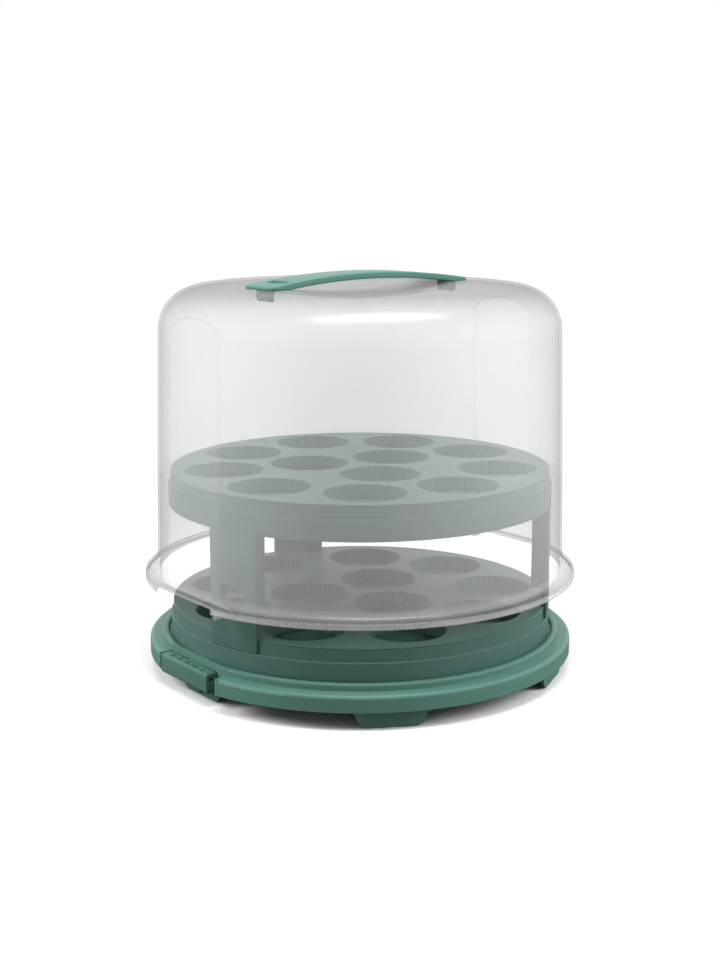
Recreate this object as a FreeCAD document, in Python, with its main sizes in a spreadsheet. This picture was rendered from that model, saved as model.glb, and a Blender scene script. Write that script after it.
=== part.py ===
import FreeCAD, Part
import Sketcher
import math
import os
import re

# Two-tier cake keeper: a round base with moulded feet and two latch slides, two muffin trays with
# fluted cups, three plate legs between the trays, and a clear dome with a strap handle.
# Millimetres, Z up, ground at zero, latches and handle on the X axis.

SIZES = [
    # trays
    ("tray_radius", 157.2, "outside radius of a tray's lower band"),
    ("tray_height", 27.3, "height of a tray"),
    ("band_height", 10.7, "height of the tray's upper band"),
    ("band_step", 2, "how far the upper band stands back"),
    ("tray_wall", 2.2, "wall of a tray"),
    ("tray_round", 0.8, "rounding of the tray's top edge"),
    ("groove_width", 1, "width of the groove under the tray's top edge"),
    ("groove_depth", 0.7, "depth of that groove"),
    ("rim_width", 9.6, "flat rim outside the cups"),
    ("cup_radius", 33, "radius of a cup at its mouth"),
    ("cup_depth", 11, "depth of a cup"),
    ("cup_taper", 3.5, "how much a cup narrows to its floor"),
    ("cup_wall", 2, "wall and floor of a cup"),
    ("cup_web", 7.6, "least web between two cups"),
    ("flute_depth", 1.5, "depth of the flutes in a cup's wall"),
    ("flute_count", 44, "flutes round a cup"),
    ("lower_turn", 15.8, "degrees the lower tray is turned on the base"),
    ("upper_turn", -46, "degrees the upper tray and its legs are turned"),
    ("tray_top_radius", "=tray_radius - band_step", "outside radius of the upper band"),
    ("outer_ring", "=tray_top_radius - rim_width - cup_radius", "radius of the outer ring of cups"),
    ("inner_ring", "=(cup_radius + cup_web / 2) / sin(60)", "radius of the inner ring of three cups"),
    ("cup_floor_radius", "=cup_radius - cup_taper", "radius of a cup at its floor"),
    # base
    ("foot_height", 14, "ground to the lower edge of the base wall"),
    ("base_wall_height", 13.2, "lower edge of the base wall to the ledge"),
    ("base_wall", 2.5, "wall of the base"),
    ("ridge_height", 5.4, "ledge to the top of the locating ridge"),
    ("ridge_width", 5.5, "width of the locating ridge"),
    ("ridge_round", 1.8, "rounding of the ridge"),
    ("plate_drop", 2.9, "ridge top down to the plate"),
    ("tray_clearance", 2, "room round a tray inside the ridge"),
    ("lid_clearance", 1, "room between the ridge and the dome"),
    ("ledge_width", 7.3, "ledge outside the dome's wall"),
    ("ledge_round", 3, "rounding of the base's shoulder"),
    ("rib_depth", 6, "depth of the ribs under the plate"),
    ("rib_wall", 2, "thickness of the ribs under the plate"),
    ("rib_count", 12, "radial ribs under the plate"),
    ("hub_radius", 24, "radius of the rib ring at the middle"),
    ("line_count", 10, "portion lines on the plate"),
    ("line_start", 32, "inner end of a portion line"),
    ("line_end", 142, "outer end of a portion line"),
    ("line_width", 1.2, "width of a portion line"),
    ("line_depth", 0.6, "depth of a portion line"),
    ("foot_top_width", 62, "width of a foot where it leaves the wall"),
    ("foot_bottom_width", 44, "width of a foot on the ground"),
    ("foot_wall", 3, "thickness of a foot"),
    ("foot_set", 5.5, "base wall's inside to a foot's outer face"),
    ("foot_round", 9, "rounding of a foot's lower corners"),
    ("foot_rib", 14, "depth of the rib behind a foot"),
    ("foot_count", 6, "feet round the base"),
    ("ledge_top", "=foot_height + base_wall_height", "height of the ledge"),
    ("ridge_top", "=ledge_top + ridge_height", "height of the ridge"),
    ("plate_top", "=ridge_top - plate_drop", "height of the plate"),
    ("plate_under", "=plate_top - base_wall", "underside of the plate"),
    ("ledge_under", "=ledge_top - base_wall", "underside of the ledge"),
    ("ridge_in", "=tray_radius + tray_clearance", "inside radius of the ridge"),
    ("ridge_out", "=ridge_in + ridge_width", "outside radius of the ridge"),
    ("dome_in", "=ridge_out + lid_clearance", "inside radius of the dome at its foot"),
    ("dome_foot", "=dome_in + dome_wall", "outside radius of the dome at its foot"),
    ("base_radius", "=dome_foot + ledge_width", "outside radius of the base"),
    ("base_in", "=base_radius - base_wall", "inside radius of the base wall"),
    ("foot_face", "=base_in - foot_set", "distance of a foot's outer face"),
    # latches
    ("latch_length", 67, "length of a latch slide"),
    ("latch_wall", 2.6, "wall of a latch slide"),
    ("latch_hang", 3, "how far a slide hangs below the base wall"),
    ("latch_gap", 0.5, "slide's top below the ledge"),
    ("latch_round", 2.2, "rounding of a slide's outer edges"),
    ("latch_play", 0.5, "play of a slide between the ends of its notch"),
    ("latch_room", 1, "room behind a slide"),
    ("hook_gap", 12.5, "free end of the notch, where a hook comes down"),
    ("ridge_seat", 2, "straight ridge behind a slide"),
    ("ridge_room", 0.6, "room between the straight ridge and a tray"),
    ("tongue_width", 8, "width of a snap tongue behind a slide"),
    ("tongue_wall", 1.8, "thickness of a snap tongue"),
    ("tongue_drop", 0.5, "slide's top to the top of a tongue"),
    ("tongue_play", 0.3, "play round a tongue in its slot"),
    ("tongue_spread", 20, "middle of a slide to a tongue's middle"),
    ("barb_length", 1.7, "length of a tongue's barb"),
    ("barb_drop", 1.5, "how far a barb hangs below its tongue"),
    ("peg_radius", 1.3, "radius of the peg on a hook"),
    ("peg_length", 3, "length of the peg on a hook"),
    ("peg_play", 0.4, "play of a peg in the end of a slide"),
    ("peg_drop", 5.6, "ledge to the peg of a closed dome"),
    ("tick_pitch", 11.1, "pitch of the grip ticks"),
    ("tick_width", 1.8, "width of a grip tick"),
    ("tick_length", 5, "length of a grip tick"),
    ("tick_depth", 0.8, "depth of a grip tick"),
    ("tick_count", 5, "grip ticks on a slide"),
    ("notch_half", "=(latch_length + hook_gap + latch_play) / 2", "half width of the latch notch"),
    ("ridge_face", "=tray_radius + ridge_room", "inner face of the straight ridge"),
    ("notch_in", "=ridge_face + ridge_seat", "distance of the notch's inner wall"),
    ("notch_back", "=notch_in - base_wall", "back of the notch's inner wall"),
    ("latch_in", "=notch_in + latch_room", "inner edge of a slide's top"),
    ("latch_face", "=sqrt(base_radius ^ 2 - notch_half ^ 2) - latch_gap", "flat face of a slide"),
    ("latch_top", "=ledge_top - latch_gap", "height of a slide's top"),
    ("latch_bottom", "=foot_height - latch_hang", "height of a slide's lower edge"),
    ("latch_travel", "=hook_gap + latch_play / 2 - hook_room - hook_wall - latch_play", "way of a slide"),
    ("tongue_top", "=latch_top - tongue_drop", "height of a tongue's top"),
    ("tongue_low", "=tongue_top - tongue_wall", "height of a tongue's underside"),
    ("peg_x", "=(latch_in + latch_face) / 2", "distance of a peg"),
    # legs
    ("leg_height", 81, "clear height between the trays"),
    ("leg_width", 46.6, "width of a leg"),
    ("leg_plate", 4.6, "thickness of a leg's plate"),
    ("leg_flange", 13, "depth of a leg's side flanges"),
    ("leg_flange_wall", 2.4, "thickness of the side flanges"),
    ("leg_flange_rise", 14.5, "lower tray to the end of the flanges"),
    ("leg_tongue", 10, "tongue inside the upper tray's skirt"),
    ("leg_fit", 0.3, "clearance of tabs and tongues"),
    ("heart_width", 25.4, "width of the heart cut-out"),
    ("heart_height", 27, "height of the heart cut-out"),
    ("heart_rise", 12, "lower tray to the tip of the heart"),
    ("heart_lobe_share", 0.506, "lobe radius as a share of its chord"),
    ("heart_side_share", 1.2, "side radius as a share of its chord"),
    ("heart_notch_share", 0.85, "height of the notch as a share of the heart"),
    ("heart_widest_share", 0.68, "height of the widest point as a share"),
    ("heart_widest", "=heart_widest_share * heart_height", "height of the heart's widest point"),
    ("heart_notch", "=heart_notch_share * heart_height", "height of the notch between the lobes"),
    ("heart_lobe", "=heart_lobe_share * sqrt((heart_width / 2) ^ 2 + (heart_notch - heart_widest) ^ 2)",
     "radius of a lobe"),
    ("heart_side", "=heart_side_share * sqrt((heart_width / 2) ^ 2 + heart_widest ^ 2)", "radius of a side"),
    ("leg_inner", "=tray_radius - leg_plate", "inner radius of a leg's plate"),
    ("leg_tab_in", "=tray_top_radius + leg_fit", "inner radius of a leg's tab"),
    ("leg_tab_end", "=leg_fit - band_height", "end of the tab, from the lower tray's top"),
    ("leg_tongue_out", "=tray_radius - tray_wall - leg_fit", "outer radius of the tongue"),
    ("leg_sweep", "=2 * asin(leg_width / 2 / tray_radius)", "angle that a leg covers"),
    ("leg_room", "=2 * asin((leg_width / 2 - leg_flange_wall) / tray_radius)", "angle inside the flanges"),
    # dome
    ("dome_wall", 2, "wall of the dome"),
    ("dome_height", 232.5, "flange's underside to the dome's rim"),
    ("dome_taper", 6.6, "how much the dome narrows to its rim"),
    ("dome_shoulder", 34.5, "rounding of the dome's shoulder"),
    ("dish_half", 80, "half length of the finger dish in the top"),
    ("dish_side", 62, "half width of the finger dish"),
    ("dish_depth", 8, "depth of the finger dish"),
    ("flare_round", 7, "rounding between wall and flange"),
    ("lip_wall", 1.9, "wall of the turned-down lip"),
    ("lip_room", 0.6, "room between the lip and the base"),
    ("lip_drop", 2.5, "how far the lip hangs below the flange"),
    ("lip_round", 1, "rounding of the flange's outer edge"),
    ("facet_depth", 3.9, "how far the flat panels stand in"),
    ("facet_flange", 5.9, "flange left in front of a flat panel"),
    ("hook_length", 8, "length of a latch hook"),
    ("hook_wall", 2, "thickness of a latch hook"),
    ("hook_width", 5.6, "width of a latch hook"),
    ("hook_room", 0.8, "room between a hook and the end of its notch"),
    ("dome_raise", 53, "how far the dome is lifted at rest"),
    ("flange_radius", "=base_radius + lip_room + lip_wall", "outside radius of the flange"),
    ("lip_in", "=base_radius + lip_room", "inside radius of the lip"),
    ("dome_rim", "=dome_foot - dome_taper", "radius of the wall drawn up to the rim"),
    ("facet_foot", "=dome_foot - facet_depth", "distance of a flat panel at its foot"),
    ("facet_rim", "=dome_rim - facet_depth", "distance of a flat panel at the rim"),
    ("flange_cut", "=facet_foot + facet_flange", "distance of the flange's straight edge"),
    ("dish_axis", "=(dish_side ^ 2 - dish_depth ^ 2) / (2 * dish_depth)", "axis of the dish above the rim"),
    ("dish_bow", "=(dish_half ^ 2 + dish_depth ^ 2) / (2 * dish_depth)", "dish's radius lengthwise"),
    ("hook_end", "=notch_half - hook_room", "far face of a hook"),
    # handle
    ("handle_length", 200, "length of the strap handle"),
    ("handle_width", 40, "width of the strap handle"),
    ("handle_rise", 10.5, "dome's rim to the top of the arch"),
    ("handle_wall", 5, "thickness of the strap at the crown"),
    ("handle_end_wall", 2.4, "thickness of the strap at its ends"),
    ("handle_pad", 16, "length of the flat ends"),
    ("handle_waist", 3, "how far each side draws in at the middle"),
    ("pocket_length", 9, "length of the hollow in each end"),
    ("pocket_width", 24, "width of the hollow in each end"),
    ("pocket_depth", 1.1, "depth of the hollow in each end"),
    ("handle_corner", 6, "rounding of the strap's corners"),
    ("anchor_length", 9, "depth of an anchor under the rim"),
    ("anchor_wall", 3, "thickness of an anchor"),
    ("anchor_width", 20, "width of an anchor"),
    ("anchor_barb", 1.6, "how far an anchor's barb reaches"),
    ("anchor_play", 0.3, "play of an anchor in its slot"),
    ("handle_half", "=handle_length / 2", "half the strap's length"),
    ("handle_inner", "=handle_half - handle_pad", "inner end of a flat end"),
    ("handle_top_rise", "=handle_rise - handle_end_wall", "rise of the top arc"),
    ("handle_under_rise", "=handle_rise - handle_wall", "rise of the lower arc"),
    ("handle_top_bow", "=(handle_half ^ 2 + handle_top_rise ^ 2) / (2 * handle_top_rise)", "top radius"),
    ("handle_under_bow", "=(handle_inner ^ 2 + handle_under_rise ^ 2) / (2 * handle_under_rise)",
     "lower arc's radius"),
    ("waist_bow", "=(handle_inner ^ 2 + handle_waist ^ 2) / (2 * handle_waist)", "waist's radius"),
    ("anchor_x", "=handle_half - handle_pad / 2", "distance of an anchor"),
    # cutting and matching
    ("overrun", 3, "how far a cut runs past what it cuts"),
    ("match", 0.01, "how near an edge lies to the place that is asked for"),
]

ALIASES = {name for name, _, _ in SIZES}

doc = FreeCAD.newDocument("cake_keeper")
sheet = doc.addObject("Spreadsheet::Sheet", "Sizes")
for row, (alias, content, note) in enumerate(SIZES, 1):
    sheet.set(f"A{row}", alias)
    sheet.set(f"B{row}", str(content))
    sheet.setAlias(f"B{row}", alias)
    sheet.set(f"C{row}", note)
doc.recompute()


def value(text):
    """The number that an expression in the sheet's names comes to."""
    result = sheet.evalExpression(text)
    return float(getattr(result, "Value", result))


def bound(text):
    """The same expression as other objects write it."""
    return re.sub(r"[a-z_]+", lambda word: ("Sizes." if word.group() in ALIASES else "") + word.group(), text)


def bind(thing, **properties):
    """Tie properties of an object to expressions in the sheet's names."""
    for name, text in properties.items():
        thing.setExpression(name, bound(text))


def new_body(name):
    body = doc.addObject("PartDesign::Body", name)
    body.Label = name
    return body


def origin(body, role):
    return next(item for item in body.Origin.OriginFeatures if item.Role == role)


def new_sketch(body, name, role, height=None):
    """A sketch on one of the body's own planes, lifted along its normal by an expression."""
    made = body.newObject("Sketcher::SketchObject", name)
    made.AttachmentSupport = [(origin(body, role), "")]
    made.MapMode = "FlatFace"
    if height:
        made.setExpression("AttachmentOffset.Base.z", bound(height))
    return made


def place(sketch, geometry, end, x, y):
    """Hold one end of an edge at a place given by two expressions."""
    for kind, axis, text in (("DistanceX", -2, x), ("DistanceY", -1, y)):
        if text == "0":
            sketch.addConstraint(Sketcher.Constraint("PointOnObject", geometry, end, axis))
        else:
            limit = Sketcher.Constraint(kind, -1, 1, geometry, end, value(text))
            number = sketch.addConstraint(limit)
            sketch.setExpression(f"Constraints[{number}]", bound(text))


def bowed(start, end, radius, side):
    """The arc from start to end that bulges to the left (side 1) or right (side -1) of the way."""
    chord = end - start
    half = chord.Length / 2
    sagitta = radius - math.sqrt(max(radius ** 2 - half ** 2, 0))
    left = FreeCAD.Vector(-chord.y, chord.x, 0).normalize()
    return start + chord / 2 + left * (sagitta * side)


def outline(sketch, points):
    """A closed outline; a point (x, y, radius, side) starts an arc, and (x, y) a line."""
    corners = [FreeCAD.Vector(value(point[0]), value(point[1]), 0) for point in points]
    first = sketch.GeometryCount
    starts = []
    for number, point in enumerate(points):
        here = corners[number]
        there = corners[(number + 1) % len(points)]
        if len(point) == 2:
            sketch.addGeometry(Part.LineSegment(here, there))
            starts.append(1)
            continue
        middle = bowed(here, there, value(point[2]), point[3])
        turns_left = point[3] < 0
        ends = (here, there) if turns_left else (there, here)
        sketch.addGeometry(Part.Arc(ends[0], middle, ends[1]))
        starts.append(1 if turns_left else 2)
    for number, point in enumerate(points):
        follower = (number + 1) % len(points)
        sketch.addConstraint(
            Sketcher.Constraint(
                "Coincident", first + number, 3 - starts[number], first + follower, starts[follower]
            )
        )
    for number, point in enumerate(points):
        place(sketch, first + number, starts[number], point[0], point[1])
        if len(point) > 2:
            limit = Sketcher.Constraint("Radius", first + number, value(point[2]))
            sketch.setExpression(f"Constraints[{sketch.addConstraint(limit)}]", bound(point[2]))


def box_outline(sketch, left, right, low, high):
    outline(sketch, [(left, low), (right, low), (right, high), (left, high)])


def round_outline(sketch, x, y, radius):
    """One circle with its centre at (x, y)."""
    centre = FreeCAD.Vector(value(x), value(y), 0)
    number = sketch.addGeometry(Part.Circle(centre, FreeCAD.Vector(0, 0, 1), value(radius)))
    place(sketch, number, 3, x, y)
    limit = Sketcher.Constraint("Radius", number, value(radius))
    sketch.setExpression(f"Constraints[{sketch.addConstraint(limit)}]", bound(radius))


def revolve(body, name, kind, points, angle="360"):
    """Turn an outline in the XZ plane about Z, half of the angle to each side."""
    sketch = new_sketch(body, name + "_section", "XZ_Plane")
    outline(sketch, points)
    made = body.newObject("PartDesign::" + kind, name)
    made.Profile = sketch
    made.ReferenceAxis = (sketch, ["V_Axis"])
    made.Midplane = True
    bind(made, Angle=angle)
    doc.recompute()
    return made


def extrude(body, name, kind, sketch, length, symmetric=False, reverse=False):
    """Pad or pocket a sketch, to one side or half of the length to each side."""
    made = body.newObject("PartDesign::" + kind, name)
    made.Profile = sketch
    made.SideType = "Symmetric" if symmetric else "One side"
    made.Reversed = reverse
    bind(made, Length=length)
    doc.recompute()
    return made


def polar(body, name, originals, count):
    """Repeat features round Z."""
    made = body.newObject("PartDesign::PolarPattern", name)
    made.Originals = originals
    made.Axis = (origin(body, "Z_Axis"), [""])
    made.Angle = 360
    made.Occurrences = int(value(count))
    body.Tip = made
    doc.recompute()
    return made


def round_rings(body, name, base, radius, rings):
    """Round the circular edges at the given radii and heights."""
    wanted = [(value(ring), value(height)) for ring, height in rings]
    near = value("match")
    names = []
    for number, edge in enumerate(base.Shape.Edges, 1):
        if not isinstance(edge.Curve, Part.Circle):
            continue
        for ring, height in wanted:
            if abs(edge.Curve.Radius - ring) < near and abs(edge.Curve.Center.z - height) < near:
                names.append(f"Edge{number}")
    return round_edges(body, name, base, radius, names)


def round_edges(body, name, base, radius, names):
    made = body.newObject("PartDesign::Fillet", name)
    made.Base = (base, names)
    bind(made, Radius=radius)
    doc.recompute()
    return made


def straight_edges(shape, test):
    """Names of the straight edges whose middle and direction pass a test."""
    names = []
    for number, edge in enumerate(shape.Edges, 1):
        if isinstance(edge.Curve, Part.Line):
            middle = (edge.Vertexes[0].Point + edge.Vertexes[-1].Point) / 2
            if test(middle, edge.Curve.Direction):
                names.append(f"Edge{number}")
    return names


def turned(height, degrees=0):
    """A place on the Z axis, turned about it."""
    return FreeCAD.Placement(
        FreeCAD.Vector(0, 0, height), FreeCAD.Rotation(FreeCAD.Vector(0, 0, 1), degrees)
    )


def shifted(x, y, z):
    return FreeCAD.Placement(FreeCAD.Vector(x, y, z), FreeCAD.Rotation())


pieces = []


def finish(piece, label):
    """Name a finished piece and put it on the list of what is written."""
    piece.Label = label
    pieces.append(piece)


# Base: a plate inside a locating ridge, a ledge for the dome and a wall that hides the feet
def make_base():
    body = new_body("base_plate")
    shell = revolve(body, "base_shell", "Revolution", [
        ("0", "plate_top"),
        ("ridge_in", "plate_top"),
        ("ridge_in", "ridge_top"),
        ("ridge_out", "ridge_top"),
        ("ridge_out", "ledge_top"),
        ("base_radius", "ledge_top"),
        ("base_radius", "foot_height"),
        ("base_in", "foot_height"),
        ("base_in", "ledge_under"),
        ("ridge_in", "ledge_under"),
        ("ridge_in", "plate_under"),
        ("0", "plate_under"),
    ])
    shoulder = round_rings(body, "base_shoulder", shell, "ledge_round", [("base_radius", "ledge_top")])
    ridge = round_rings(body, "base_ridge", shoulder, "ridge_round", [
        ("ridge_in", "ridge_top"),
        ("ridge_out", "ridge_top"),
    ])
    body.Tip = ridge

    hub_sketch = new_sketch(body, "hub_section", "XY_Plane", "plate_under")
    round_outline(hub_sketch, "0", "0", "hub_radius")
    round_outline(hub_sketch, "0", "0", "hub_radius - rib_wall")
    extrude(body, "hub", "Pad", hub_sketch, "rib_depth", reverse=True)
    rib_sketch = new_sketch(body, "rib_section", "XZ_Plane")
    box_outline(rib_sketch, "hub_radius - rib_wall / 2", "ridge_in", "plate_under - rib_depth", "plate_under")
    rib = extrude(body, "rib", "Pad", rib_sketch, "rib_wall", symmetric=True)
    polar(body, "ribs", [rib], "rib_count")

    foot_sketch = new_sketch(body, "foot_face_outline", "YZ_Plane", "foot_face - foot_wall")
    foot_outline(foot_sketch)
    foot = extrude(body, "foot", "Pad", foot_sketch, "foot_wall")
    brace_sketch = new_sketch(body, "foot_brace_section", "XZ_Plane")
    box_outline(brace_sketch, "foot_face - foot_rib", "foot_face - foot_wall / 2", "foot_wall", "ledge_under")
    brace = extrude(body, "foot_brace", "Pad", brace_sketch, "rib_wall", symmetric=True)
    polar(body, "feet", [foot, brace], "foot_count")

    # Each latch slides in a notch with its own walls, with a straight ridge and a set-back foot behind
    # it. Two slots in the notch's inner wall let the snap tongues of the slide through.
    wall_sketch = new_sketch(body, "notch_wall_outline", "XY_Plane", "foot_height")
    box_outline(
        wall_sketch, "notch_back", "latch_face", "-notch_half - base_wall", "notch_half + base_wall"
    )
    wall = extrude(body, "notch_wall", "Pad", wall_sketch, "base_wall_height")
    ridge_sketch = new_sketch(body, "straight_ridge_outline", "XY_Plane", "ledge_top")
    box_outline(ridge_sketch, "ridge_face", "notch_in", "-notch_half", "notch_half")
    straight = extrude(body, "straight_ridge", "Pad", ridge_sketch, "ridge_height")
    notch_sketch = new_sketch(body, "notch_outline", "XY_Plane", "ridge_top + overrun")
    box_outline(notch_sketch, "notch_in", "base_radius + overrun", "-notch_half", "notch_half")
    notch = extrude(body, "notch", "Pocket", notch_sketch, "ridge_top + 2 * overrun")
    back_sketch = new_sketch(body, "back_foot_outline", "YZ_Plane", "notch_back - foot_wall")
    foot_outline(back_sketch)
    back = extrude(body, "back_foot", "Pad", back_sketch, "foot_wall")
    latch_place = [wall, straight, notch, back]
    slot_top = "tongue_top + tongue_play"
    for side in ("", "-"):
        low = f"{side}tongue_spread - hook_gap / 2 - tongue_width / 2 - tongue_play"
        high = f"{side}tongue_spread - hook_gap / 2 + tongue_width / 2 + tongue_play + latch_travel"
        slot_sketch = new_sketch(body, "tongue_slot_outline", "XY_Plane", slot_top)
        box_outline(slot_sketch, "notch_back - tongue_play", "notch_in + tongue_play", low, high)
        slot = extrude(body, "tongue_slot", "Pocket", slot_sketch, "tongue_wall + 2 * tongue_play")
        room_sketch = new_sketch(body, "barb_room_outline", "XY_Plane", slot_top)
        box_outline(room_sketch, "notch_back - foot_wall - tongue_play", "notch_back", low, high)
        room = extrude(body, "barb_room", "Pocket", room_sketch, "tongue_wall + barb_drop + 2 * tongue_play")
        latch_place += [slot, room]
    polar(body, "latch_places", latch_place, "2")

    line_sketch = new_sketch(body, "portion_line_outline", "XY_Plane", "plate_top")
    box_outline(line_sketch, "line_start", "line_end", "-line_width / 2", "line_width / 2")
    line = extrude(body, "portion_line", "Pocket", line_sketch, "line_depth")
    polar(body, "portion_lines", [line], "line_count")
    finish(body, "base_plate")


def foot_outline(sketch):
    """A tab that narrows to the ground, with round lower corners."""
    half_top = "foot_top_width / 2"
    half_low = "foot_bottom_width / 2"
    outline(sketch, [
        ("-" + half_top, "ledge_under"),
        ("-" + half_top, "foot_height"),
        ("-(" + half_low + " + foot_round / 2)", "foot_round", "foot_round", -1),
        ("-(" + half_low + " - foot_round / 2)", "0"),
        (half_low + " - foot_round / 2", "0", "foot_round", -1),
        (half_low + " + foot_round / 2", "foot_round"),
        (half_top, "foot_height"),
        (half_top, "ledge_under"),
    ])


# Latches: boxes, open below and behind, that slide along the notch on two snap tongues. A hole in
# the end takes the peg of the dome's hook.
def make_latch(label, degrees):
    body = new_body(label)
    section = new_sketch(body, label + "_section", "XZ_Plane")
    box_outline(section, "latch_in", "latch_face", "latch_bottom", "latch_top")
    block = extrude(body, label + "_block", "Pad", section, "latch_length", symmetric=True)
    face = value("latch_face")
    near = value("match")
    edges = straight_edges(
        block.Shape, lambda middle, way: abs(middle.x - face) < near and abs(way.y) > abs(way.z)
    )
    round_edges(body, label + "_rounding", block, "latch_round", edges)
    hollow_sketch = new_sketch(body, label + "_hollow_section", "XZ_Plane")
    box_outline(
        hollow_sketch, "latch_in - overrun", "latch_face - latch_wall",
        "latch_bottom - overrun", "latch_top - latch_wall"
    )
    hollow_length = "latch_length - 2 * latch_wall"
    extrude(body, label + "_hollow", "Pocket", hollow_sketch, hollow_length, symmetric=True)
    for side in ("", "-"):
        tongue_sketch = new_sketch(body, label + "_tongue_section", "XZ_Plane", side + "tongue_spread")
        outline(tongue_sketch, [
            ("latch_in + latch_wall", "tongue_top"),
            ("notch_back - tongue_play - barb_length", "tongue_top"),
            ("notch_back - tongue_play - barb_length", "tongue_low - barb_drop"),
            ("notch_back - tongue_play", "tongue_low - barb_drop"),
            ("notch_back - tongue_play", "tongue_low"),
            ("latch_in + latch_wall", "tongue_low"),
        ])
        extrude(body, label + "_tongue", "Pad", tongue_sketch, "tongue_width", symmetric=True)
    hole_sketch = new_sketch(body, label + "_peg_hole_outline", "XZ_Plane")
    round_outline(hole_sketch, "peg_x", "ledge_top - peg_drop", "peg_radius + peg_play")
    extrude(body, label + "_peg_hole", "Pocket", hole_sketch, "latch_length + 2 * overrun", symmetric=True)
    tick_sketch = new_sketch(body, label + "_ticks_outline", "XY_Plane", "latch_top")
    count = int(value("tick_count"))
    for number in range(count):
        middle = f"({number} - ({count} - 1) / 2) * tick_pitch"
        low = middle + " - tick_width / 2"
        high = middle + " + tick_width / 2"
        box_outline(tick_sketch, "latch_in + tick_length / 4", "latch_in + tick_length * 5 / 4", low, high)
    extrude(body, label + "_ticks", "Pocket", tick_sketch, "tick_depth")
    body.Placement = turned(0, degrees).multiply(shifted(0, -value("hook_gap / 2"), 0))
    finish(body, label)


# Trays: a shell with two bands, cups hung under its top and flutes cut into the cups
def star(radius, height):
    """Corners of a zigzag round Z that swings in from the radius by the depth of a flute."""
    count = 2 * int(value("flute_count"))
    inward = radius * value("flute_depth / cup_radius")
    corners = []
    for number in range(count):
        reach = radius - inward * (number % 2)
        angle = math.tau * number / count
        corners.append(FreeCAD.Vector(reach * math.cos(angle), reach * math.sin(angle), height))
    return corners


def fluted_core():
    """The room inside one cup, in flat faces, from its floor to a little above its mouth."""
    depth = value("cup_depth")
    rise = value("overrun")
    mouth = value("cup_radius")
    floor = value("cup_floor_radius")
    low = star(floor, -depth)
    high = star(mouth + (mouth - floor) * rise / depth, rise)
    faces = [Part.Face(Part.makePolygon(ring + ring[:1])) for ring in (low, high)]
    for number in range(len(low)):
        before = number - 1
        around = [low[before], low[number], high[number], high[before], low[before]]
        faces.append(Part.Face(Part.makePolygon(around)))
    return Part.Solid(Part.Shell(faces))


def cup_places():
    """Where the cups stand: a full outer ring and three cups inside it, between its cups."""
    ring = value("outer_ring")
    inner = value("inner_ring")
    count = int(math.pi / math.asin(value("cup_radius + cup_web / 2") / ring))
    places = []
    for number in range(count):
        angle = math.tau * number / count
        places.append(FreeCAD.Vector(ring * math.cos(angle), ring * math.sin(angle), value("tray_height")))
    for number in range(3):
        angle = math.pi / 3 + math.tau * number / 3
        places.append(FreeCAD.Vector(inner * math.cos(angle), inner * math.sin(angle), value("tray_height")))
    return places


def make_tray(label, height, degrees):
    body = new_body(label + "_shell")
    shell = revolve(body, label + "_bands", "Revolution", [
        ("0", "tray_height"),
        ("tray_top_radius", "tray_height"),
        ("tray_top_radius", "tray_height - band_height"),
        ("tray_radius", "tray_height - band_height"),
        ("tray_radius", "0"),
        ("tray_radius - tray_wall", "0"),
        ("tray_radius - tray_wall", "tray_height - band_height - tray_wall"),
        ("tray_top_radius - tray_wall", "tray_height - band_height - tray_wall"),
        ("tray_top_radius - tray_wall", "tray_height - tray_wall"),
        ("0", "tray_height - tray_wall"),
    ])
    round_rings(body, label + "_rounding", shell, "tray_round", [
        ("tray_top_radius", "tray_height"),
        ("tray_radius", "tray_height - band_height"),
    ])
    revolve(body, label + "_groove", "Groove", [
        ("tray_top_radius + groove_depth", "tray_height - tray_round"),
        ("tray_top_radius", "tray_height - tray_round"),
        ("tray_top_radius - groove_depth", "tray_height - tray_round - groove_width / 2"),
        ("tray_top_radius", "tray_height - tray_round - groove_width"),
        ("tray_top_radius + groove_depth", "tray_height - tray_round - groove_width"),
    ])

    cups = []
    cores = []
    core = fluted_core()
    for number, spot in enumerate(cup_places(), 1):
        cup = doc.addObject("Part::Cone", f"{label}_cup_{number}")
        bind(cup, Radius1="cup_floor_radius + cup_wall", Radius2="cup_radius + cup_wall")
        bind(cup, Height="cup_depth + cup_wall - tray_wall / 2")
        cup.Placement.Base = spot - FreeCAD.Vector(0, 0, value("cup_depth + cup_wall"))
        cups.append(cup)
        cores.append(core.translated(spot))
    hung = doc.addObject("Part::MultiFuse", label + "_hung")
    hung.Shapes = [body] + cups
    rooms = doc.addObject("Part::Feature", label + "_cup_rooms")
    rooms.Shape = Part.makeCompound(cores)
    tray = doc.addObject("Part::Cut", label)
    tray.Base = hung
    tray.Tool = rooms
    tray.Placement = turned(height, degrees)
    doc.recompute()
    finish(tray, label)


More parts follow.
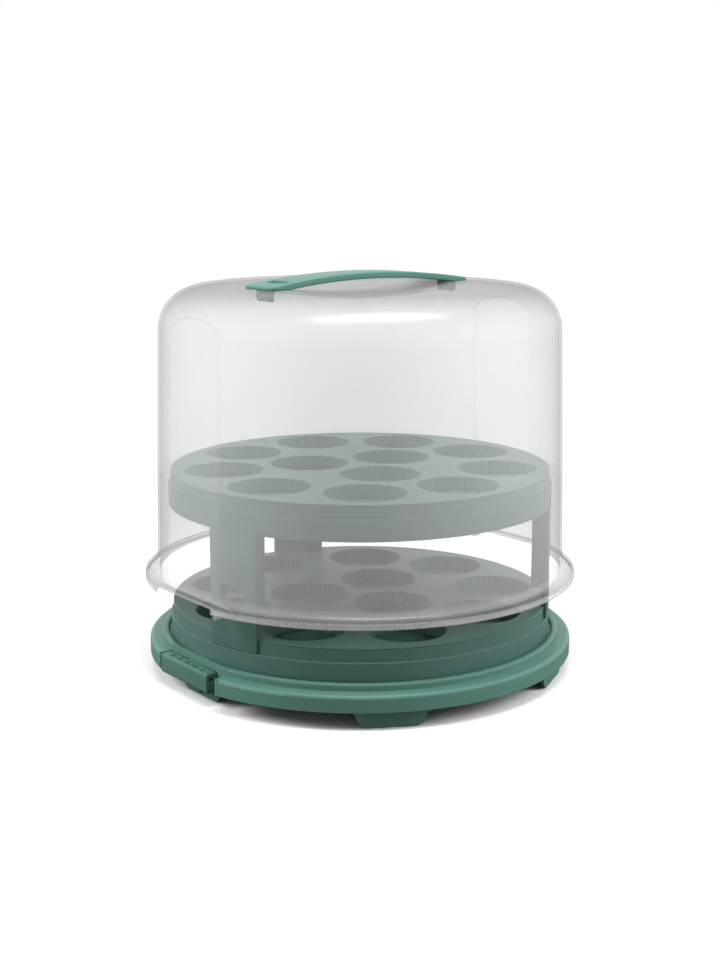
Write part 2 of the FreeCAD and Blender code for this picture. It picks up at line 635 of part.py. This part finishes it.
# Legs: curved plates that clip under the upper tray and stand round the lower tray's upper band
def make_leg(label, degrees):
    body = new_body(label)
    revolve(body, label + "_plate", "Revolution", [
        ("leg_inner", "0"),
        ("leg_tab_in", "0"),
        ("leg_tab_in", "leg_tab_end"),
        ("tray_radius", "leg_tab_end"),
        ("tray_radius", "leg_height"),
        ("leg_tongue_out", "leg_height"),
        ("leg_tongue_out", "leg_height + leg_tongue"),
        ("leg_inner", "leg_height + leg_tongue"),
    ], "leg_sweep")
    revolve(body, label + "_flanges", "Revolution", [
        ("tray_radius - leg_flange", "leg_flange_rise"),
        ("tray_radius - leg_plate / 2", "leg_flange_rise"),
        ("tray_radius - leg_plate / 2", "leg_height"),
        ("tray_radius - leg_flange", "leg_height"),
    ], "leg_sweep")
    revolve(body, label + "_hollow", "Groove", [
        ("tray_radius - leg_flange - overrun", "0"),
        ("leg_inner", "0"),
        ("leg_inner", "leg_height + overrun"),
        ("tray_radius - leg_flange - overrun", "leg_height + overrun"),
    ], "leg_room")
    heart_sketch = new_sketch(body, label + "_heart_outline", "YZ_Plane", "tray_radius + overrun")
    outline(heart_sketch, [
        ("0", "heart_rise", "heart_side", -1),
        ("heart_width / 2", "heart_rise + heart_widest", "heart_lobe", -1),
        ("0", "heart_rise + heart_notch", "heart_lobe", -1),
        ("-heart_width / 2", "heart_rise + heart_widest", "heart_side", -1),
    ])
    extrude(body, label + "_heart", "Pocket", heart_sketch, "leg_plate + leg_flange + overrun")
    body.Placement = turned(value("plate_top + tray_height"), degrees)
    finish(body, label)


# Dome: a thin drafted shell with a dished top, a flared flange with a lip, and two flat panels
def dome_form(name, wall):
    """The dome's outside (wall 0) or the room inside it, which opens downwards over the base."""
    body = new_body(name)
    foot = f"dome_foot - {wall}"
    rim = f"dome_height - {wall}"
    rim_radius = f"dome_rim - {wall}"
    top = [(rim_radius, rim), ("0", rim)]
    if wall == "0":
        low = [
            ("0", "-lip_drop"),
            ("flange_radius", "-lip_drop"),
            ("flange_radius", "dome_wall"),
            (foot, "dome_wall"),
        ]
        panel_low = "dome_wall"
    else:
        low = [
            ("0", "-lip_drop - overrun"),
            ("lip_in", "-lip_drop - overrun"),
            ("lip_in", "0"),
            (foot, "0"),
        ]
        panel_low = "0"
    solid = revolve(body, name + "_turned", "Revolution", low + top)
    solid = round_rings(body, name + "_shoulder", solid, f"dome_shoulder - {wall}", [(rim_radius, rim)])
    if wall == "0":
        solid = round_rings(body, name + "_flare", solid, "flare_round", [(foot, "dome_wall")])
        solid = round_rings(body, name + "_lip", solid, "lip_round", [("flange_radius", "dome_wall")])
    dish_sketch = new_sketch(body, name + "_dish_section", "XZ_Plane")
    dish_sketch.setExpression("AttachmentOffset.Base.y", bound("dome_height + dish_axis"))
    drop = f"-dish_axis - {wall}"
    outline(dish_sketch, [
        ("-dish_half", "-dish_axis / 2"),
        ("-dish_half", drop, "dish_bow", -1),
        ("dish_half", drop),
        ("dish_half", "-dish_axis / 2"),
    ])
    dish = body.newObject("PartDesign::Groove", name + "_dish")
    dish.Profile = dish_sketch
    dish.ReferenceAxis = (dish_sketch, ["H_Axis"])
    dish.Midplane = True
    dish.Angle = 90
    doc.recompute()
    panel_sketch = new_sketch(body, name + "_panel_outline", "XZ_Plane")
    outline(panel_sketch, [
        (f"facet_foot - {wall}", panel_low),
        ("flange_radius + overrun", panel_low),
        ("flange_radius + overrun", "dome_height"),
        (f"facet_rim - {wall}", "dome_height"),
    ])
    panel = extrude(body, name + "_panel", "Pocket", panel_sketch, "flange_radius", symmetric=True)
    cuts = [panel]
    if wall == "0":
        edge_sketch = new_sketch(body, name + "_straight_edge", "XY_Plane", "flare_round + overrun")
        box_outline(edge_sketch, "flange_cut", "flange_radius + overrun", "-notch_half", "notch_half")
        depth = "flare_round + lip_drop + 2 * overrun"
        cuts.append(extrude(body, name + "_edge_cut", "Pocket", edge_sketch, depth))
    polar(body, name + "_panels", cuts, "2")
    return body


def make_dome():
    shell = doc.addObject("Part::Cut", "dome_shell")
    shell.Base = dome_form("dome_outside", "0")
    shell.Tool = dome_form("dome_inside", "dome_wall")
    hooks = []
    slots = []
    for side in (1, -1):
        hook = doc.addObject("Part::Box", "dome_hook")
        bind(hook, Length="hook_width", Width="hook_wall", Height="hook_length + dome_wall / 2")
        peg = doc.addObject("Part::Cylinder", "hook_peg")
        bind(peg, Radius="peg_radius", Height="peg_length + hook_wall / 2")
        half_turn = turned(0, 90 - 90 * side)
        hook_y = value("hook_end - hook_wall")
        hook.Placement = half_turn.multiply(
            shifted(value("peg_x - hook_width / 2"), hook_y, -value("hook_length"))
        )
        sideways = FreeCAD.Rotation(FreeCAD.Vector(1, 0, 0), 90)
        peg_start = FreeCAD.Vector(value("peg_x"), value("hook_end - hook_wall / 2"), -value("peg_drop"))
        peg.Placement = half_turn.multiply(FreeCAD.Placement(peg_start, sideways))
        hooks += [hook, peg]
        slot = doc.addObject("Part::Box", "anchor_slot")
        bind(slot, Length="anchor_wall + 2 * anchor_play", Width="anchor_width + 2 * anchor_play")
        bind(slot, Height="dome_wall + 2 * overrun")
        x = side * value("anchor_x") - value("anchor_wall / 2 + anchor_play")
        y = -value("anchor_width / 2 + anchor_play")
        slot.Placement.Base = FreeCAD.Vector(x, y, value("dome_height - dome_wall - overrun"))
        slots.append(slot)
    hooked = doc.addObject("Part::MultiFuse", "dome_hooked")
    hooked.Shapes = [shell] + hooks
    openings = doc.addObject("Part::MultiFuse", "anchor_slots")
    openings.Shapes = slots
    dome = doc.addObject("Part::Cut", "dome")
    dome.Base = hooked
    dome.Tool = openings
    dome.Placement = turned(value("ledge_top + dome_raise"))
    doc.recompute()
    finish(dome, "dome")


# Handle: an arched strap that lies on the dome's rim and is held by a barbed anchor at each end
def make_handle():
    body = new_body("handle")
    arch_sketch = new_sketch(body, "handle_arch", "XZ_Plane")
    outline(arch_sketch, [
        ("-handle_half", "dome_height"),
        ("-handle_inner", "dome_height", "handle_under_bow", 1),
        ("handle_inner", "dome_height"),
        ("handle_half", "dome_height"),
        ("handle_half", "dome_height + handle_end_wall", "handle_top_bow", -1),
        ("-handle_half", "dome_height + handle_end_wall"),
    ])
    strap = extrude(body, "handle_strap", "Pad", arch_sketch, "handle_width", symmetric=True)
    half = value("handle_half")
    near = value("match")
    corners = straight_edges(
        strap.Shape, lambda middle, way: abs(abs(middle.x) - half) < near and abs(way.z) > abs(way.y)
    )
    strap = round_edges(body, "handle_corners", strap, "handle_corner", corners)
    waist_sketch = new_sketch(body, "handle_waist_outline", "XY_Plane", "dome_height + 2 * handle_rise")
    edge = "handle_width / 2"
    outline(waist_sketch, [
        ("-handle_inner", edge, "waist_bow", -1),
        ("handle_inner", edge),
        ("handle_inner", edge + " + overrun"),
        ("-handle_inner", edge + " + overrun"),
    ])
    outline(waist_sketch, [
        ("handle_inner", "-" + edge, "waist_bow", -1),
        ("-handle_inner", "-" + edge),
        ("-handle_inner", "-(" + edge + " + overrun)"),
        ("handle_inner", "-(" + edge + " + overrun)"),
    ])
    extrude(body, "handle_waist_cut", "Pocket", waist_sketch, "3 * handle_rise")
    pocket_sketch = new_sketch(body, "handle_hollow_section", "XZ_Plane")
    hollow_top = "dome_height + handle_rise"
    hollow_low = "dome_height + handle_end_wall + pocket_depth"
    outline(pocket_sketch, [
        ("handle_inner - pocket_length", hollow_low),
        ("handle_inner", "dome_height + handle_end_wall"),
        ("handle_inner", hollow_top),
        ("handle_inner - pocket_length", hollow_top),
    ])
    hollow = extrude(body, "handle_hollow", "Pocket", pocket_sketch, "pocket_width", symmetric=True)
    polar(body, "handle_hollows", [hollow], "2")
    anchor_sketch = new_sketch(body, "anchor_section", "XZ_Plane")
    outline(anchor_sketch, [
        ("anchor_x - anchor_wall / 2", "dome_height + handle_end_wall / 2"),
        ("anchor_x - anchor_wall / 2", "dome_height - anchor_length"),
        ("anchor_x + anchor_wall / 2", "dome_height - anchor_length"),
        ("anchor_x + anchor_wall / 2 + anchor_barb", "dome_height - dome_wall - anchor_barb"),
        ("anchor_x + anchor_wall / 2", "dome_height - dome_wall - anchor_play"),
        ("anchor_x + anchor_wall / 2", "dome_height + handle_end_wall / 2"),
    ])
    anchor = extrude(body, "handle_anchor", "Pad", anchor_sketch, "anchor_width", symmetric=True)
    polar(body, "handle_anchors", [anchor], "2")
    body.Placement = turned(value("ledge_top + dome_raise"))
    finish(body, "handle")


make_base()
make_latch("latch_right", 0)
make_latch("latch_left", 180)
make_tray("lower_tray", value("plate_top"), value("upper_turn + lower_turn"))
make_tray("upper_tray", value("plate_top + tray_height + leg_height"), value("upper_turn"))
for number in range(3):
    make_leg(f"tray_leg_{number + 1}", value("upper_turn") + 120 * number)
make_dome()
make_handle()
doc.recompute()

for thing in doc.Objects:
    if "Invalid" in thing.State or "Error" in thing.State:
        raise RuntimeError(f"{thing.Name} failed: {thing.State}")
for piece in pieces:
    if piece.Shape.isNull() or not piece.Shape.isValid() or len(piece.Shape.Solids) != 1:
        raise RuntimeError(f"{piece.Label} is not one sound solid")

os.makedirs("parts", exist_ok=True)
for piece in pieces:
    piece.Shape.exportStep(f"parts/{piece.Label}.step")
    box = piece.Shape.BoundBox
    print(f"{piece.Label}: {piece.Shape.Volume:.0f} mm3, z {box.ZMin:.1f} to {box.ZMax:.1f}")
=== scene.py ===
import math

import bpy
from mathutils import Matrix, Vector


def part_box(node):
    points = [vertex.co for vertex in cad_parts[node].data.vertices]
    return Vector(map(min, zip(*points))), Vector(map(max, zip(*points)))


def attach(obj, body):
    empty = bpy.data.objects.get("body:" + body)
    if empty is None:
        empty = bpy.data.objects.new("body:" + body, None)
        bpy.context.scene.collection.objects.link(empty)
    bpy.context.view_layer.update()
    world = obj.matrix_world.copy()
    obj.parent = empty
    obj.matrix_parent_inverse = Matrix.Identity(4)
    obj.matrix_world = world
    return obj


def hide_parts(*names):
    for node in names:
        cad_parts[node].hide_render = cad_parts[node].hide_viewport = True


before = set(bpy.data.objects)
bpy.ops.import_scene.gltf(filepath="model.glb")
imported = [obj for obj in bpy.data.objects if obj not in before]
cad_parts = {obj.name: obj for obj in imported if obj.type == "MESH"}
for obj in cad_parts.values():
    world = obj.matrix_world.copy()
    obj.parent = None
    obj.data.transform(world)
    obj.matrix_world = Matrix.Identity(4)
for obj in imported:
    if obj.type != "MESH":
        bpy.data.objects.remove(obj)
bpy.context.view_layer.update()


# Base plate
# The moulded polypropylene base: a round plate with a ridge that centres the trays and the dome,
# a skirt with a notch for each latch, and six feet. It is one injection moulding.
MM = 0.001


class Value:
    """One socket of a finish, so that sums of sockets read as plain arithmetic."""

    def __init__(self, finish, socket):
        self.finish = finish
        self.socket = socket

    def maths(self, operation, first, second):
        return self.finish.node("ShaderNodeMath", {"operation": operation}, {0: first, 1: second})

    def __add__(self, other):
        return self.maths("ADD", self, other)

    def __radd__(self, other):
        return self.maths("ADD", other, self)

    def __sub__(self, other):
        return self.maths("SUBTRACT", self, other)

    def __rsub__(self, other):
        return self.maths("SUBTRACT", other, self)

    def __mul__(self, other):
        return self.maths("MULTIPLY", self, other)

    def __rmul__(self, other):
        return self.maths("MULTIPLY", other, self)

    def __pow__(self, other):
        return self.maths("POWER", self, other)


class Finish:
    """A material with one principled shader; node() adds any other node and returns its output."""

    def __init__(self, name, **constants):
        self.material = bpy.data.materials.new(name)
        self.material.use_nodes = True
        self.tree = self.material.node_tree
        self.shader = self.tree.nodes["Principled BSDF"]
        for socket, constant in constants.items():
            self.shader.inputs[socket.replace("_", " ")].default_value = constant

    def node(self, kind, settings, sockets, output=0):
        made = self.tree.nodes.new(kind)
        for name, setting in settings.items():
            setattr(made, name, setting)
        for name, value in sockets.items():
            if isinstance(value, Value):
                self.tree.links.new(value.socket, made.inputs[name])
            else:
                made.inputs[name].default_value = value
        return Value(self, made.outputs[output])

    def place(self):
        return self.node("ShaderNodeTexCoord", {}, {}, "Object")

    def normal(self):
        return self.node("ShaderNodeNewGeometry", {}, {}, "Normal")

    def noise(self, size, detail=3, roughness=0.5):
        sockets = {"Vector": self.place(), "Scale": 1 / size, "Detail": detail, "Roughness": roughness}
        return self.node("ShaderNodeTexNoise", {"normalize": True}, sockets)

    def mix(self, factor, first, second):
        return self.node("ShaderNodeMix", {"data_type": "RGBA"}, {0: factor, 6: first, 7: second}, 2)

    def between(self, value, low, high):
        """Nought below low, one above high, and a smooth rise from one to the other."""
        settings = {"interpolation_type": "SMOOTHSTEP"}
        return self.node("ShaderNodeMapRange", settings, {0: value, 1: low, 2: high, 3: 0, 4: 1})

    def turned(self, soft_normal):
        """How far a softened normal has turned from the true one: nought away from edges."""
        sockets = {0: soft_normal, 1: self.normal()}
        return 1 - self.node("ShaderNodeVectorMath", {"operation": "DOT_PRODUCT"}, sockets, "Value")

    def feed(self, socket, value):
        self.tree.links.new(value.socket, self.shader.inputs[socket])


def srgb(red, green, blue):
    """A screen colour of 0 to 255 as the linear colour that a shader takes."""
    def linear(channel):
        share = channel / 255
        return share / 12.92 if share <= 0.04045 else ((share + 0.055) / 1.055) ** 2.4
    return (linear(red), linear(green), linear(blue), 1)


def shade(colour, factor):
    return tuple(channel * factor for channel in colour[:3]) + (1,)


def moulded(name, colour):
    """Satin injection-moulded plastic: flow mottling, a fine spark-eroded grain, and a painted
    highlight that makes every edge paler.
    """
    flow_size = 38 * MM
    grain_size = 0.55 * MM
    grain_depth = 0.05 * MM
    speck_size = 1.6 * MM
    edge_reach = 0.6 * MM
    satin = 0.42
    dark = shade(colour, 0.93)
    light = shade(colour, 1.07)
    paler = shade(colour, 1.5)
    finish = Finish(name, IOR=1.49)
    flow = finish.noise(flow_size, 4, 0.55)
    grain = finish.noise(grain_size, 2, 0.6)
    specks = finish.between(finish.noise(speck_size, 2), 0.62, 0.8)
    soft_normal = finish.node("ShaderNodeBevel", {"samples": 4}, {"Radius": edge_reach})
    # Every edge, raised or hollow, is painted paler as a painted highlight, and is also made a little
    # glossier.
    edge_highlight = finish.between(finish.turned(soft_normal), 0.004, 0.12)
    body = finish.mix(0.10 * specks, finish.mix(flow, dark, light), paler)
    finish.feed("Base Color", finish.mix(0.14 * edge_highlight, body, paler))
    finish.feed("Roughness", satin + 0.10 * (flow - 0.5) + 0.06 * (grain - 0.5) - 0.06 * edge_highlight)
    bump = {"Strength": 0.10, "Distance": grain_depth, "Height": grain, "Normal": soft_normal}
    finish.feed("Normal", finish.node("ShaderNodeBump", {}, bump))
    return finish


def dress(node, finish):
    """Give a CAD node its finish in place of the plain one that it came with."""
    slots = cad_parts[node].data.materials
    slots.clear()
    slots.append(finish.material)


# The base's colour is painted lighter than its plastic, a painted light standing for the brighter
# light that falls on its skirt.
lit_base_colour = srgb(84, 126, 116)
dress("base_plate", moulded("base_plastic", lit_base_colour))


# Latches
# Two slides of the same kind of plastic, let into notches at opposite sides of the skirt. Snap
# tongues behind each one run in the base, and a hole in its end takes the peg of the dome's hook.
def rounded(node, body, radius, finish):
    """Replace a CAD node by a merged copy whose sharp edges are rounded, as a mould leaves them."""
    merge_reach = 0.002 * MM
    flat_angle = math.radians(0.6)
    sharp_angle = math.radians(40)
    smooth_angle = math.radians(30)
    piece = bpy.data.objects.new(node + "_moulding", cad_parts[node].data.copy())
    bpy.context.scene.collection.objects.link(piece)
    bpy.ops.object.select_all(action="DESELECT")
    bpy.context.view_layer.objects.active = piece
    piece.select_set(True)
    bpy.ops.mesh.customdata_custom_splitnormals_clear()
    bpy.ops.object.mode_set(mode="EDIT")
    bpy.ops.mesh.select_all(action="SELECT")
    bpy.ops.mesh.remove_doubles(threshold=merge_reach)
    bpy.ops.mesh.dissolve_limited(angle_limit=flat_angle)
    bpy.ops.object.mode_set(mode="OBJECT")
    bevel = piece.modifiers.new("mould_rounding", "BEVEL")
    bevel.width = radius
    bevel.segments = 3
    bevel.limit_method = "ANGLE"
    bevel.angle_limit = sharp_angle
    bevel.use_clamp_overlap = False
    bpy.ops.object.modifier_apply(modifier=bevel.name)
    bpy.ops.object.shade_smooth_by_angle(angle=smooth_angle)
    piece.data.materials.clear()
    piece.data.materials.append(finish.material)
    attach(piece, body)
    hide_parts(node)


latch_edge = 0.35 * MM
latch_colour = srgb(74, 112, 103)
latch_plastic = moulded("latch_plastic", latch_colour)
rounded("latch_left", "left_latch", latch_edge, latch_plastic)
rounded("latch_right", "right_latch", latch_edge, latch_plastic)


# Trays
# Two like muffin trays of the same kind of plastic, each with twelve fluted cups hanging from its
# top. The lower one stands on the base plate, the upper one on its three legs.
tray_colour = srgb(74, 108, 101)
tray_plastic = moulded("tray_plastic", tray_colour)
dress("lower_tray", tray_plastic)
dress("upper_tray", tray_plastic)


# Legs
# Three plate legs of the trays' plastic with a heart cut through each, clipped under the upper
# tray by a tongue at the top. Each stands round the upper band of the tray below.
leg_edge = 0.5 * MM
leg_plastic = moulded("leg_plastic", tray_colour)
for number in (1, 2, 3):
    rounded(f"tray_leg_{number}", "upper_tier", leg_edge, leg_plastic)


# Dome
# The clear lid, moulded thin from a slightly hazy plastic: flat panels at the two latches, a round
# shoulder, a flared foot with a lip, and a dish under the handle. The haze is thickest where the
# wall is seen along its length. Its colour is painted darker on upward faces, on the flared foot,
# at the outline and in fine lines where the panels and the foot turn: all painted shade.
# The top and flange colours are painted shade: darker greys laid on upward faces and on the foot.
wall_haze = (0.98, 0.98, 0.955, 1)
top_painted_shade = (0.21, 0.21, 0.205, 1)
flange_painted_shade = (0.09, 0.09, 0.088, 1)
# The outline colour is painted shade, a darker grey where the wall is seen edge-on.
outline_painted_shade = (0.28, 0.28, 0.276, 1)
streak_colour = (1, 1, 1, 1)
streak_size = 60 * MM
crease_reach = 0.7 * MM
flange_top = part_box("dome")[0].z + 10 * MM
flange_fade = 6 * MM
wall_opacity = 0.16
flange_opacity = 0.10
outline_opacity = 0.30
crease_opacity = 0.30
polish = 0.045
polish_roughness = 0.26

clear = Finish("dome_plastic", Specular_IOR_Level=0)
grazing = clear.node("ShaderNodeLayerWeight", {}, {"Blend": 0.5}, "Facing")
upward = clear.node("ShaderNodeSeparateXYZ", {}, {0: clear.normal()}, "Z")
up_facing_shade = clear.node("ShaderNodeMath", {"operation": "ABSOLUTE"}, {0: upward})
height = clear.node("ShaderNodeSeparateXYZ", {}, {0: clear.place()}, "Z")
above_flange = clear.between(height, flange_top, flange_top + flange_fade)
streaks = clear.noise(streak_size)
soft_normal = clear.node("ShaderNodeBevel", {"samples": 6}, {"Radius": crease_reach})
shaded_crease = clear.between(clear.turned(soft_normal), 0.0003, 0.0025)

# Upward faces are painted darker grey, the foot darker still: painted shade.
haze_and_shade = clear.mix(up_facing_shade ** 1.5, wall_haze, clear.mix(above_flange, flange_painted_shade, top_painted_shade))
# The outline is painted darker grey: painted shade.
haze_and_shade = clear.mix(grazing ** 2, haze_and_shade, outline_painted_shade)
# Fine lines along the creases are painted darker grey and made more opaque: painted shade.
haze_and_shade = clear.mix(0.8 * shaded_crease, haze_and_shade, outline_painted_shade)
clear.feed("Base Color", clear.mix(0.05 * streaks, haze_and_shade, streak_colour))
opacity = wall_opacity + 0.03 * (streaks - 0.5) + flange_opacity * (1 - above_flange)
clear.feed("Alpha", opacity + outline_opacity * grazing ** 3 + crease_opacity * shaded_crease)

gloss = clear.node("ShaderNodeBsdfGlossy", {}, {"Roughness": polish_roughness})
hazy = Value(clear, clear.shader.outputs["BSDF"])
polished = clear.node("ShaderNodeMixShader", {}, {0: polish + 0.05 * grazing ** 3, 1: hazy, 2: gloss})
clear.tree.links.new(polished.socket, clear.tree.nodes["Material Output"].inputs["Surface"])
dress("dome", clear)


# Handle
# The strap handle, moulded of the same kind of plastic as the base and bowed over the dome's dish.
# Two barbed anchors under its ends snap through the dome.
handle_edge = 0.9 * MM
handle_colour = srgb(76, 122, 112)
rounded("handle", "lid", handle_edge, moulded("handle_plastic", handle_colour))


# Floor
# A round sheet of white paper that fades into the white backdrop, so that only the soft shadow
# under the feet shows. It throws back little light, which keeps the underside dark.
floor_radius = 0.9
floor_drop = 0.2 * MM
fade_start = 0.35
fade_end = 0.95 * floor_radius
fibre_size = 3 * MM
fibre_dark = (0.955, 0.955, 0.955, 1)
fibre_light = (0.975, 0.975, 0.975, 1)
bounce_grey = (0.18, 0.18, 0.18, 1)
bpy.ops.object.select_all(action="DESELECT")
bpy.ops.mesh.primitive_circle_add(
    vertices=96, radius=floor_radius, fill_type="NGON", location=(0, 0, -floor_drop)
)
floor = bpy.context.active_object
floor.name = "floor"
bpy.ops.object.transform_apply(location=True)
paper = Finish("white_paper", Roughness=0.9, Specular_IOR_Level=0.1)
reach = paper.node("ShaderNodeVectorMath", {"operation": "LENGTH"}, {0: paper.place()}, "Value")
seen = paper.node("ShaderNodeLightPath", {}, {}, "Is Camera Ray")
white = paper.mix(paper.noise(fibre_size), fibre_dark, fibre_light)
paper.feed("Base Color", paper.mix(seen, bounce_grey, white))
paper.feed("Alpha", 1 - paper.between(reach, fade_start, fade_end))
floor.data.materials.append(paper.material)


# Light
# A white room with a soft lamp at each side of the camera, the left one a little stronger, and a
# long panel overhead that alone is mirrored, as the bright streak on the dome's shoulder.
class Room(Finish):
    """The world behind everything, whose nodes are added as a finish's are."""

    def __init__(self, name):
        self.world = bpy.data.worlds.new(name)
        self.world.use_nodes = True
        self.tree = self.world.node_tree
        self.shader = self.tree.nodes["Background"]

    def ray(self, kind):
        return self.node("ShaderNodeLightPath", {}, {}, kind)

    def either(self, first, second):
        return self.node("ShaderNodeMath", {"operation": "MAXIMUM"}, {0: first, 1: second})


ambient_light = 0.36
room = Room("white_room")
room.shader.inputs["Color"].default_value = (1, 1, 1, 1)
mirrored_or_seen = room.either(room.ray("Is Camera Ray"), room.ray("Is Glossy Ray"))
backdrop = room.either(mirrored_or_seen, room.ray("Is Transmission Ray"))
room.feed("Strength", ambient_light + (1 - ambient_light) * backdrop)
bpy.context.scene.world = room.world

camera_turn = math.radians(232)
middle = (0, 0, 0.152)


def aim(thing, target):
    step = [there - here for here, there in zip(thing.location, target)]
    flat = math.hypot(step[0], step[1])
    thing.rotation_euler = (math.atan2(flat, -step[2]), 0, math.atan2(-step[0], step[1]))


def stand(name, data, angle, distance, height):
    """Set a lamp or camera up at an angle round the object, aimed at the object's middle."""
    thing = bpy.data.objects.new(name, data)
    bpy.context.scene.collection.objects.link(thing)
    thing.location = (distance * math.cos(angle), distance * math.sin(angle), height)
    aim(thing, middle)
    return thing


def lamp(name, turn, distance, height, size, power, mirrored):
    light = bpy.data.lights.new(name, "AREA")
    light.shape = "ELLIPSE"
    light.size, light.size_y = size
    light.energy = power
    stood = stand(name, light, camera_turn + math.radians(turn), distance, height)
    stood.visible_glossy = mirrored


lamp("left_lamp", turn=-85, distance=1.5, height=1.0, size=(1.0, 1.0), power=28, mirrored=False)
lamp("right_lamp", turn=80, distance=1.5, height=0.9, size=(1.0, 1.0), power=24, mirrored=False)
lamp("top_lamp", turn=18, distance=0.55, height=1.9, size=(1.7, 0.5), power=20, mirrored=True)


# Camera
# A slightly long lens a little higher than the dome, looking down at the left latch and the
# front foot.
camera_distance = 1.1924
camera_height = 0.397
lens = bpy.data.cameras.new("camera")
lens.sensor_fit = "VERTICAL"
lens.sensor_height = 36
lens.lens = 55.23
bpy.context.scene.camera = stand("camera", lens, camera_turn, camera_distance, camera_height)
bpy.context.scene.view_settings.view_transform = "Standard"
